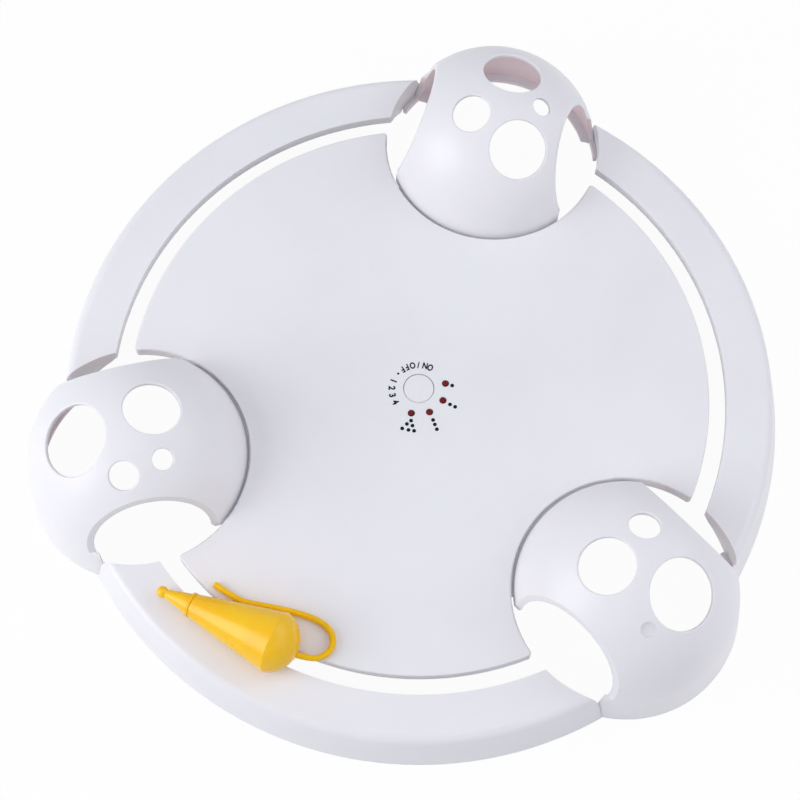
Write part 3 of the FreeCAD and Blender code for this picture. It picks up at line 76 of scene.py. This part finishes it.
def linear(colour):
    """An sRGB colour, as #RRGGBB, to the opaque linear values that the sockets take."""
    parts = [int(colour[i:i + 2], 16) / 255 for i in (1, 3, 5)]
    return [c / 12.92 if c <= 0.04045 else ((c + 0.055) / 1.055) ** 2.4 for c in parts] + [1.0]


def placed(name, data):
    """A new object that shows the data in the scene."""
    made = bpy.data.objects.new(name, data)
    bpy.context.scene.collection.objects.link(made)
    return made


def mesh_placed(name, mesh):
    """A new object from a bmesh, which is used up."""
    data = bpy.data.meshes.new(name)
    mesh.to_mesh(data)
    mesh.free()
    return placed(name, data)


def add(tree, kind, settings=None, inputs=None, **links):
    """Add a node. Its properties come from settings, the values of its sockets from inputs, by name
    or number, and links join a source to an input, whose name is written with _ for a space."""
    node = tree.nodes.new(kind)
    for name, value in (settings or {}).items():
        setattr(node, name, value)
    for name, value in (inputs or {}).items():
        node.inputs[name].default_value = value
    for name, source in links.items():
        tree.links.new(source, node.inputs[name.replace("_", " ")])
    return node


def material(name):
    """A new node material with its Principled shader and Object coordinates."""
    made = bpy.data.materials.new(name)
    made.use_nodes = True
    tree = made.node_tree
    shader = tree.nodes["Principled BSDF"]
    place = add(tree, "ShaderNodeTexCoord").outputs["Object"]
    return made, tree, shader, place


def noise(tree, place, size, detail):
    """A noise value; size is the width of one cloud or grain in metres."""
    cloud = add(tree, "ShaderNodeTexNoise", inputs={"Scale": 1 / size, "Detail": detail}, Vector=place)
    return cloud.outputs["Fac"]


def finish_colour(tree, shader, place, low, high, size):
    """Slow drift between two near shades."""
    ramp = add(tree, "ShaderNodeValToRGB", Fac=noise(tree, place, size, 3.0))
    for stop, position, shade in zip(ramp.color_ramp.elements, SHADE_SPREAD, (low, high)):
        stop.position = position
        stop.color = linear(shade)
    tree.links.new(ramp.outputs["Color"], shader.inputs["Base Color"])


def finish_roughness(tree, shader, place, low, high, size):
    """Uneven gloss between two roughness values."""
    ends = {"From Min": GLOSS_SPREAD[0], "From Max": GLOSS_SPREAD[1], "To Min": low, "To Max": high}
    span = add(tree, "ShaderNodeMapRange", inputs=ends, Value=noise(tree, place, size, 4.0))
    tree.links.new(span.outputs["Result"], shader.inputs["Roughness"])


def finish_relief(tree, shader, height, strength, depth):
    """Relief from a height value; depth is its full height in metres."""
    bump = add(tree, "ShaderNodeBump", inputs={"Strength": strength, "Distance": depth}, Height=height)
    tree.links.new(bump.outputs["Normal"], shader.inputs["Normal"])


def soak(shader, weight, shares, reach):
    """Light that soaks in: its weight, its shares in red, green and blue, and its reach in metres."""
    shader.inputs["Subsurface Weight"].default_value = weight
    shader.inputs["Subsurface Radius"].default_value = shares
    shader.inputs["Subsurface Scale"].default_value = reach


# ---------------------------------------------------------------- materials


def glossy_abs(name):
    """Injection-moulded white ABS from a polished tool: milky, faintly blue, with soft waviness
    in its reflections, and a little warm light that soaks through thin walls."""
    made, tree, shader, place = material(name)
    finish_colour(tree, shader, place, "#ECEBF0", "#F0EFF3", 60 * MM)
    finish_roughness(tree, shader, place, 0.36, 0.42, 25 * MM)
    finish_relief(tree, shader, noise(tree, place, 14 * MM, 2.0), 0.25, 0.15 * MM)
    shader.inputs["IOR"].default_value = ABS_IOR
    soak(shader, 0.25, (1.0, 0.55, 0.5), 3 * MM)
    return made


def dome_abs(turn):
    """The glossy white ABS of the dome in a direction given in degrees. Its wall is thin and lit
    from both sides, so its inner faces get a painted pink glow in their base colour, for the light that
    soaks through."""
    made = glossy_abs(f"glossy_white_abs_dome_{turn:.0f}")
    tree = made.node_tree
    shader = tree.nodes["Principled BSDF"]
    here = add(tree, "ShaderNodeTexCoord").outputs
    swing = math.radians(turn)
    centre = (DOME_OFFSET * math.cos(swing), DOME_OFFSET * math.sin(swing), DOME_CENTRE)
    outward = add(tree, "ShaderNodeVectorMath", {"operation": "SUBTRACT"}, {1: centre})
    tree.links.new(here["Object"], outward.inputs[0])
    ray = add(tree, "ShaderNodeVectorMath", {"operation": "NORMALIZE"}, Vector=outward.outputs["Vector"])
    # An inner face looks against the ray that comes from the sphere's centre.
    facing = add(tree, "ShaderNodeVectorMath", {"operation": "DOT_PRODUCT"})
    tree.links.new(ray.outputs["Vector"], facing.inputs[0])
    tree.links.new(here["Normal"], facing.inputs[1])
    inside = add(tree, "ShaderNodeMath", {"operation": "LESS_THAN"}, {1: INNER_FACING})
    tree.links.new(facing.outputs["Value"], inside.inputs[0])
    # Painted glow: inner faces have their base colour mixed towards pink, which stands in for warm light
    # soaking through the wall.
    shade = add(tree, "ShaderNodeMix", {"data_type": "RGBA"}, {MIX_B: linear("#F9E8EB")},
                Factor=inside.outputs["Value"])
    tree.links.new(shader.inputs["Base Color"].links[0].from_socket, shade.inputs[MIX_A])
    tree.links.new(shade.outputs[MIX_RESULT], shader.inputs["Base Color"])
    return made


def textured_abs():
    """White ABS from a spark-eroded tool, as the hidden side of a housing: even, dull, fine grain."""
    made, tree, shader, place = material("textured_white_abs")
    finish_colour(tree, shader, place, "#DEDEE2", "#E4E4E8", 40 * MM)
    finish_roughness(tree, shader, place, 0.5, 0.6, 12 * MM)
    finish_relief(tree, shader, noise(tree, place, 0.5 * MM, 2.0), 0.3, 0.05 * MM)
    return made


def yellow_abs():
    """Warm yellow ABS, polished, slightly translucent, so that its edges glow."""
    made, tree, shader, place = material("polished_yellow_abs")
    finish_colour(tree, shader, place, "#FFC200", "#FFCB04", 20 * MM)
    finish_roughness(tree, shader, place, 0.22, 0.3, 9 * MM)
    finish_relief(tree, shader, noise(tree, place, 7 * MM, 2.0), 0.2, 0.08 * MM)
    shader.inputs["IOR"].default_value = ABS_IOR
    shader.inputs["Specular IOR Level"].default_value = 0.4
    soak(shader, 0.2, YELLOW_SOAK, 2 * MM)
    return made


def soft_vinyl():
    """Extruded soft yellow vinyl of the tail: satin, with faint draw lines."""
    made, tree, shader, place = material("soft_yellow_vinyl")
    finish_colour(tree, shader, place, "#FFC200", "#FFCB04", 12 * MM)
    finish_roughness(tree, shader, place, 0.36, 0.45, 5 * MM)
    finish_relief(tree, shader, noise(tree, place, 1.2 * MM, 2.0), 0.2, 0.05 * MM)
    shader.inputs["Specular IOR Level"].default_value = 0.25
    soak(shader, 0.2, YELLOW_SOAK, 1 * MM)
    return made


def moulded_acetal():
    """Natural acetal of gears and arm: waxy, off-white, dull sheen."""
    made, tree, shader, place = material("natural_acetal")
    finish_colour(tree, shader, place, "#DFDDD2", "#E8E6DC", 15 * MM)
    finish_roughness(tree, shader, place, 0.38, 0.48, 4 * MM)
    return made


def zinc_steel():
    """Zinc-plated steel of screws, pins and contacts: bright grey with fine turning marks."""
    made, tree, shader, place = material("zinc_plated_steel")
    finish_colour(tree, shader, place, "#B9BCC0", "#CDD0D4", 3 * MM)
    finish_roughness(tree, shader, place, 0.26, 0.4, 1 * MM)
    shader.inputs["Metallic"].default_value = 1.0
    return made


def battery_jacket():
    """Shrink film over a steel cell: satin grey with a copper-coloured end band."""
    made, tree, shader, place = material("battery_shrink_film")
    split = add(tree, "ShaderNodeSeparateXYZ", Vector=place)
    band = add(tree, "ShaderNodeMath", {"operation": "GREATER_THAN"}, {1: 14 * MM})
    tree.links.new(split.outputs["X"], band.inputs[0])
    shades = {MIX_A: linear("#3E4146"), MIX_B: linear("#B98A52")}
    shade = add(tree, "ShaderNodeMix", {"data_type": "RGBA"}, shades, Factor=band.outputs["Value"])
    tree.links.new(shade.outputs[MIX_RESULT], shader.inputs["Base Color"])
    finish_roughness(tree, shader, place, 0.25, 0.35, 5 * MM)
    shader.inputs["Metallic"].default_value = 0.6
    return made


def turned_brass():
    """Turned brass of the motor pinion: bright yellow metal with fine marks."""
    made, tree, shader, place = material("turned_brass")
    finish_colour(tree, shader, place, "#C7A052", "#D6B263", 2 * MM)
    finish_roughness(tree, shader, place, 0.22, 0.34, 1 * MM)
    shader.inputs["Metallic"].default_value = 1.0
    return made


def board_laminate():
    """Glass-epoxy board under green solder resist: paler lines of copper show through."""
    made, tree, shader, place = material("green_solder_resist")
    lines = {"Scale": 1 / (6 * MM), "Mortar Size": 0.03, "Color1": linear("#1C6B3C"),
             "Color2": linear("#1F7342"), "Mortar": linear("#2C8A52")}
    weave = add(tree, "ShaderNodeTexBrick", inputs=lines, Vector=place)
    tree.links.new(weave.outputs["Color"], shader.inputs["Base Color"])
    finish_roughness(tree, shader, place, 0.3, 0.4, 6 * MM)
    return made


def black_nylon():
    """Black nylon of the switch: dull, slightly dusty."""
    made, tree, shader, place = material("black_nylon")
    finish_colour(tree, shader, place, "#17171A", "#222226", 3 * MM)
    finish_roughness(tree, shader, place, 0.45, 0.55, 2 * MM)
    return made


def red_epoxy():
    """Tinted clear epoxy of the lights, unlit: deep red, glassy skin over a darker core."""
    made, tree, shader, place = material("red_tinted_epoxy")
    finish_colour(tree, shader, place, "#6E0208", "#86060E", 2 * MM)
    shader.inputs["Roughness"].default_value = 0.12
    shader.inputs["Specular IOR Level"].default_value = 0.12
    shader.inputs["IOR"].default_value = 1.55
    soak(shader, 0.3, (1.0, 0.1, 0.1), 1 * MM)
    return made


def foot_rubber():
    """Moulded rubber of the feet: matt dark grey with fine grain."""
    made, tree, shader, place = material("moulded_rubber")
    finish_colour(tree, shader, place, "#2B2B2D", "#363638", 6 * MM)
    finish_roughness(tree, shader, place, 0.75, 0.85, 3 * MM)
    finish_relief(tree, shader, noise(tree, place, 0.6 * MM, 3.0), 0.4, 0.08 * MM)
    return made


def printed_ink():
    """Pad-printed dark ink: flat, slightly uneven film."""
    made, tree, shader, place = material("pad_printed_ink")
    finish_colour(tree, shader, place, "#0E0E14", "#16161E", 1.5 * MM)
    finish_roughness(tree, shader, place, 0.6, 0.7, 1 * MM)
    shader.inputs["Specular IOR Level"].default_value = 0.12
    return made


# The finishes that the tail and the print below wear too.
VINYL, INK = soft_vinyl(), printed_ink()

FINISHES = {
    glossy_abs("glossy_white_abs"): ("deck", "rim_segment_1", "rim_segment_2", "rim_segment_3",
                                     "button_cap"),
    textured_abs(): ("core_housing", "base_plate", "battery_door"),
    yellow_abs(): ("mouse_body", "mouse_snout", "mouse_base"),
    VINYL: ("mouse_tail",),
    moulded_acetal(): ("carousel_ring", "sweep_arm", "gear_1", "gear_2", "mouse_peg"),
    zinc_steel(): ("motor", "motor_shaft", "gear_pin_1", "gear_pin_2", "door_screw", "base_screws",
                   "dome_screws", "rim_screws", "board_screws", "arm_screws", "battery_contacts",
                   "peg_clip"),
    turned_brass(): ("motor_pinion",),
    battery_jacket(): ("batteries",),
    board_laminate(): ("circuit_board",),
    black_nylon(): ("tact_switch", "switch_plunger"),
    red_epoxy(): ("indicator_leds",),
    foot_rubber(): ("rubber_feet",),
}


def dress(piece, finish):
    """Give a piece one finish and no other."""
    piece.data.materials.clear()
    piece.data.materials.append(finish)


for finish, names in FINISHES.items():
    for name in names:
        dress(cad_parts[name], finish)

for number, turn in enumerate(DOME_TURNS, 1):
    dress(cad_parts[f"dome_{number}"], dome_abs(turn))

# ---------------------------------------------------------------- pieces


# The print: how far the ink stands off the deck, how thick it is, and how much it spreads.
INK_LIFT, INK_FILM, INK_SPREAD = 0.01 * MM, 0.03 * MM, 0.16 * MM

# The dots that stand for the steps of speed, one, two, three and six: x and y in millimetres.
STEP_DOTS = (
    (14.6, 5.6),
    (16.1, -3.7), (18.7, -4.2),
    (10.6, -13.2), (12.0, -15.1), (13.5, -17.1),
    (0.9, -16.3), (-0.5, -18.4), (2.2, -18.5), (-2.0, -21.1), (1.0, -21.0), (3.6, -20.7),
)
STEP_DOT_RADIUS, MIDDLE_DOT_RADIUS = 0.9 * MM, 0.55 * MM

# The dial about the button: its signs with their directions in degrees, and the direction of the
# dot between the letters and the numbers. Its centre lies a little in front of the button's.
DIAL_CENTRE, DIAL_RADIUS = Vector((0, -0.7 * MM, DECK_TOP)), 12.3 * MM
DIAL_SIGNS = (("O", 79.0), ("N", 91.0), ("/", 105.5), ("O", 118.5), ("F", 130.5), ("F", 141.5),
              ("1", 175.0), ("2", 192.0), ("3", 209.0), ("4", 226.0))
MIDDLE_DOT_TURN = 155.5

# The height of a capital, its share of the font's size, and how wide letters and numbers are set.
CAPITAL, CAPITAL_SHARE = 2.9 * MM, 0.69
LETTER_WIDTH, NUMBER_WIDTH = 0.77, 0.95


def print_on_deck(mesh, name):
    """Turn a bmesh into a printed piece that rides on the frame."""
    piece = mesh_placed(name, mesh)
    dress(piece, INK)
    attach(piece, "frame")


def printed_disc(mesh, centre, radius, sides):
    """Add a disc of ink to a mesh; its centre is given on the deck's face."""
    turns = [math.tau * side / sides for side in range(sides)]
    low, high = ([mesh.verts.new(centre + Vector((math.cos(turn) * radius, math.sin(turn) * radius, up)))
                  for turn in turns] for up in (INK_LIFT, INK_LIFT + INK_FILM))
    mesh.faces.new(reversed(low))
    mesh.faces.new(high)
    for side in range(sides):
        mesh.faces.new((low[side - 1], low[side], high[side], high[side - 1]))


def printed_dots():
    """Groups of dots beside the lights."""
    mesh = bmesh.new()
    for x, y in STEP_DOTS:
        printed_disc(mesh, Vector((x * MM, y * MM, DECK_TOP)), STEP_DOT_RADIUS, sides=24)
    print_on_deck(mesh, "printed_dots")


def glyph(character):
    """A character as a thin plate of ink, centred on the origin, which lies on the deck's face."""
    curve = bpy.data.curves.new("glyph", "FONT")
    curve.body = character
    curve.size = CAPITAL / CAPITAL_SHARE
    curve.extrude = INK_FILM / 2
    curve.offset = INK_SPREAD
    curve.align_x = "CENTER"
    holder = placed("glyph", curve)
    bpy.context.view_layer.update()
    data = bpy.data.meshes.new_from_object(holder)
    bpy.data.objects.remove(holder)
    width = NUMBER_WIDTH if character.isdigit() else LETTER_WIDTH
    middle = Matrix.Translation((0, -CAPITAL / 2, INK_LIFT + INK_FILM / 2))
    data.transform(middle @ Matrix.Diagonal((width, 1, 1, 1)))
    return data


def on_dial(turn):
    """The place on the dial's arc in a direction given in radians."""
    return DIAL_CENTRE + Vector((math.cos(turn), math.sin(turn), 0)) * DIAL_RADIUS


def printed_words():
    """ON / OFF and the numbers of the speeds on an arc about the button, tops inwards."""
    mesh = bmesh.new()
    for character, angle in DIAL_SIGNS:
        turn = math.radians(angle)
        plate = glyph(character)
        plate.transform(Matrix.Translation(on_dial(turn)) @ Matrix.Rotation(turn + math.pi / 2, 4, "Z"))
        mesh.from_mesh(plate)
    printed_disc(mesh, on_dial(math.radians(MIDDLE_DOT_TURN)), MIDDLE_DOT_RADIUS, sides=20)
    print_on_deck(mesh, "printed_words")


# The tail's route about the peg: forward, sideways and up from the deck, in millimetres.
TAIL_ROUTE = (
    (-24.6, 0.9, 6.3), (-31.2, -0.3, 5.2), (-36.6, -3.4, 3.6), (-38.9, -9.7, 2.4),
    (-35.8, -15.9, 1.8), (-28.2, -18.3, 1.8), (-16.6, -17.2, 1.8), (-5.0, -14.5, 1.8),
    (2.0, -12.6, 1.8), (9.6, -11.2, 1.8), (21.7, -13.5, 1.8),
)
TAIL_RADIUS = 1.4 * MM

# The direction in which the mouse points, in degrees.
MOUSE_TURN = 171.0


def mouse_tail():
    """The soft tail: one smooth cord from the socket in the mouse round to its side."""
    data = bpy.data.curves.new("soft_tail", "CURVE")
    data.dimensions = "3D"
    data.bevel_depth = TAIL_RADIUS
    data.bevel_resolution = 6
    data.use_fill_caps = True
    line = data.splines.new("NURBS")
    line.points.add(len(TAIL_ROUTE) - 1)
    peg = Vector(((PEG_LOW.x + PEG_HIGH.x) / 2, (PEG_LOW.y + PEG_HIGH.y) / 2, DECK_TOP))
    turn = Matrix.Rotation(math.radians(MOUSE_TURN), 3, "Z")
    route = [peg + turn @ (Vector(spot) * MM) for spot in TAIL_ROUTE]
    for point, spot in zip(line.points, route):
        point.co = (*spot, 1.0)
    line.order_u = 3
    line.use_endpoint_u = True
    line.resolution_u = 12
    tail = placed("soft_tail", data)
    dress(tail, VINYL)
    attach(tail, "mouse")
    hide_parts("mouse_tail")


printed_dots()
printed_words()
mouse_tail()

# ---------------------------------------------------------------- stage, light and camera

# Half the floor's side in metres, and the share of it that glows for the eye, so that only a
# faint shadow stays.
FLOOR_HALF, FLOOR_GLOW = 3.0, 0.95

# The colour and strength with which the surround lights the object.
SURROUND_COLOUR, SURROUND_STRENGTH = "#F3F5FF", 0.44

# Square soft boxes that face the origin: name, place in metres and power in watts.
BOX_SIDE = 0.8
SOFT_BOXES = (
    ("key_box", (-0.90, -0.50, 0.60), 7.3),
    ("overhead_box", (0.0, 0.0, 1.2), 1.4),
    ("far_fill_box", (0.75, 0.55, 0.80), 2.7),
    ("right_fill_box", (0.95, -0.25, 0.70), 1.8),
)

# The camera's place in millimetres, the directions of its right, up and back, and its sensor and
# lens in millimetres, with the nearest distance that it shows in metres.
CAMERA_PLACE = (73.651, -279.475, 800.142)
CAMERA_RIGHT = (0.96151284, 0.27473700, -0.00355560)
CAMERA_UP = (-0.25692473, 0.90361004, 0.34275149)
CAMERA_BACK = (0.09737939, -0.32864644, 0.93941938)
SENSOR_WIDTH, FOCAL_LENGTH, CLIP_START = 36.0, 80.0925, 0.01


def greater(tree, first, second):
    """The greater of two values."""
    node = add(tree, "ShaderNodeMath", {"operation": "MAXIMUM"})
    tree.links.new(first, node.inputs[0])
    tree.links.new(second, node.inputs[1])
    return node.outputs["Value"]


def seen_directly(tree):
    """One for rays from the eye, and for those that reach the surround through a gloss or a lens."""
    path = add(tree, "ShaderNodeLightPath").outputs
    clear = greater(tree, path["Is Glossy Ray"], path["Is Transmission Ray"])
    return greater(tree, path["Is Camera Ray"], clear)


def mix_of(tree, share, first, second):
    """A mix of two shaders; the share is that of the second."""
    mix = add(tree, "ShaderNodeMixShader", Fac=share)
    tree.links.new(first, mix.inputs[1])
    tree.links.new(second, mix.inputs[2])
    return mix.outputs["Shader"]


def stage_floor():
    """Pale floor that reads as white paper and keeps the soft shadow."""
    mesh = bmesh.new()
    bmesh.ops.create_grid(mesh, x_segments=1, y_segments=1, size=FLOOR_HALF)
    floor = mesh_placed("floor", mesh)
    paper = bpy.data.materials.new("white_paper")
    paper.use_nodes = True
    tree = paper.node_tree
    shader = tree.nodes["Principled BSDF"]
    shader.inputs["Base Color"].default_value = linear("#F4F4F4")
    shader.inputs["Roughness"].default_value = 0.9
    glow = add(tree, "ShaderNodeEmission", inputs={"Strength": 1.0})
    share = add(tree, "ShaderNodeMath", {"operation": "MULTIPLY"}, {1: FLOOR_GLOW})
    tree.links.new(seen_directly(tree), share.inputs[0])
    mixed = mix_of(tree, share.outputs["Value"], shader.outputs["BSDF"], glow.outputs["Emission"])
    tree.links.new(mixed, tree.nodes["Material Output"].inputs["Surface"])
    dress(floor, paper)


def studio_light():
    """Soft boxes above and to the sides, and a surround that lights the object and looks white."""
    world = bpy.data.worlds.new("studio")
    bpy.context.scene.world = world
    world.use_nodes = True
    tree = world.node_tree
    surround = tree.nodes["Background"]
    surround.inputs["Color"].default_value = linear(SURROUND_COLOUR)
    surround.inputs["Strength"].default_value = SURROUND_STRENGTH
    white = add(tree, "ShaderNodeBackground", inputs={"Color": (1, 1, 1, 1), "Strength": 1.0})
    mixed = mix_of(tree, seen_directly(tree), surround.outputs["Background"], white.outputs["Background"])
    tree.links.new(mixed, tree.nodes["World Output"].inputs["Surface"])
    for name, place, power in SOFT_BOXES:
        lamp = bpy.data.lights.new(name, "AREA")
        lamp.shape = "SQUARE"
        lamp.size = BOX_SIDE
        lamp.energy = power
        holder = placed(name, lamp)
        holder.location = place
        aim = Vector((0, 0, 0)) - Vector(place)
        holder.rotation_euler = aim.to_track_quat("-Z", "Y").to_euler()


def product_camera():
    """Camera high in front of the toy, turned a little about its own axis."""
    data = bpy.data.cameras.new("camera")
    data.sensor_width = SENSOR_WIDTH
    data.lens = FOCAL_LENGTH
    data.clip_start = CLIP_START
    holder = placed("camera", data)
    axes = (Vector(CAMERA_RIGHT), Vector(CAMERA_UP), Vector(CAMERA_BACK))
    turn = Matrix(axes).transposed().to_4x4()
    holder.matrix_world = Matrix.Translation(Vector(CAMERA_PLACE) * MM) @ turn
    bpy.context.scene.camera = holder


stage_floor()
studio_light()
product_camera()
bpy.context.scene.view_settings.view_transform = "Standard"
